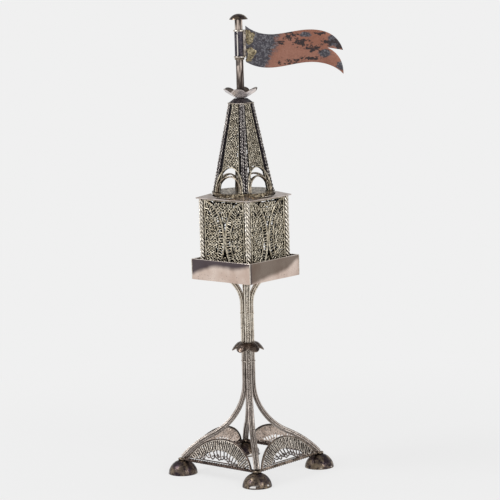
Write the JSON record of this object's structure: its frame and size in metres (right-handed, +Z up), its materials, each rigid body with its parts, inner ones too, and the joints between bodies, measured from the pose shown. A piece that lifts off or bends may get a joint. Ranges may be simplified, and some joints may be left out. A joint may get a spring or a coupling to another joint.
{
  "type": "spice tower",
  "caption": "Free-standing filigree spice tower: domed feet, ribbon stem, pierced spice box, lift-off spire lid and a pennant that turns on its mast.",
  "frame": {"origin": "on the table, midway between the feet, under the axis of the stem and mast", "axes": "+Z up along the mast; the picture's left-hand face looks along -Y and its right-hand face along +X"},
  "size_m": [0.0724, 0.0667, 0.235],
  "materials": {
    "filigree_silver": "twisted and plain silver wire, warm tarnish in the gaps",
    "sheet_silver": "polished silver sheet with soft stains",
    "dark_silver": "polished silver under dark brown tarnish",
    "copper": "matte copper sheet with dark oxide patches"
  },
  "bodies": {
    "tower": {"foot_dome_1": "dark_silver", "foot_dome_2": "dark_silver", "foot_dome_3": "dark_silver", "foot_dome_4": "dark_silver", "foot_pads": "dark_silver", "stem_core": "dark_silver", "stem_knop": "dark_silver", "base_arch_1": "filigree_silver", "base_arch_2": "filigree_silver", "base_arch_3": "filigree_silver", "base_arch_4": "filigree_silver", "base_filigree_1": "filigree_silver", "base_filigree_2": "filigree_silver", "base_filigree_3": "filigree_silver", "base_filigree_4": "filigree_silver", "leg_ribbon_1": "filigree_silver", "leg_ribbon_2": "filigree_silver", "leg_ribbon_3": "filigree_silver", "leg_ribbon_4": "filigree_silver", "stem_bindings": "filigree_silver", "box_post_1": "filigree_silver", "box_post_2": "filigree_silver", "box_post_3": "filigree_silver", "box_post_4": "filigree_silver", "box_panel_1": "filigree_silver", "box_panel_2": "filigree_silver", "box_panel_3": "filigree_silver", "box_panel_4": "filigree_silver", "tray_floor": "sheet_silver", "tray_wall_1": "sheet_silver", "tray_wall_2": "sheet_silver", "tray_wall_3": "sheet_silver", "tray_wall_4": "sheet_silver", "top_plate": "sheet_silver", "lid_collar": "sheet_silver", "roof_hip": "sheet_silver"},
    "spire_lid": {"lid_cap": "sheet_silver", "lid_wire": "filigree_silver", "spire_strip_1": "filigree_silver", "spire_strip_2": "filigree_silver", "spire_strip_3": "filigree_silver", "spire_strip_4": "filigree_silver", "spire_panel_1": "filigree_silver", "spire_panel_2": "filigree_silver", "spire_panel_3": "filigree_silver", "spire_panel_4": "filigree_silver", "spire_arch_1": "filigree_silver", "spire_arch_2": "filigree_silver", "spire_arch_3": "filigree_silver", "spire_arch_4": "filigree_silver", "spire_cap": "sheet_silver", "mast_cup": "sheet_silver", "mast": "sheet_silver", "mast_stop": "sheet_silver", "finial": "dark_silver"},
    "pennant": {"pennant_blade": "copper", "pennant_hoist": "sheet_silver", "pennant_sleeve": "sheet_silver", "pennant_rings": "sheet_silver"}
  },
  "joints": [
    {"name": "spire_lift", "type": "slide", "parent": "tower", "child": "spire_lid", "axis": [0, 0, 1], "range_m": [0, 0.045]},
    {"name": "pennant_swivel", "type": "hinge", "parent": "spire_lid", "child": "pennant", "pos_m": [0, 0, 0.22], "axis": [0, 0, 1], "continuous": true}
  ]
}
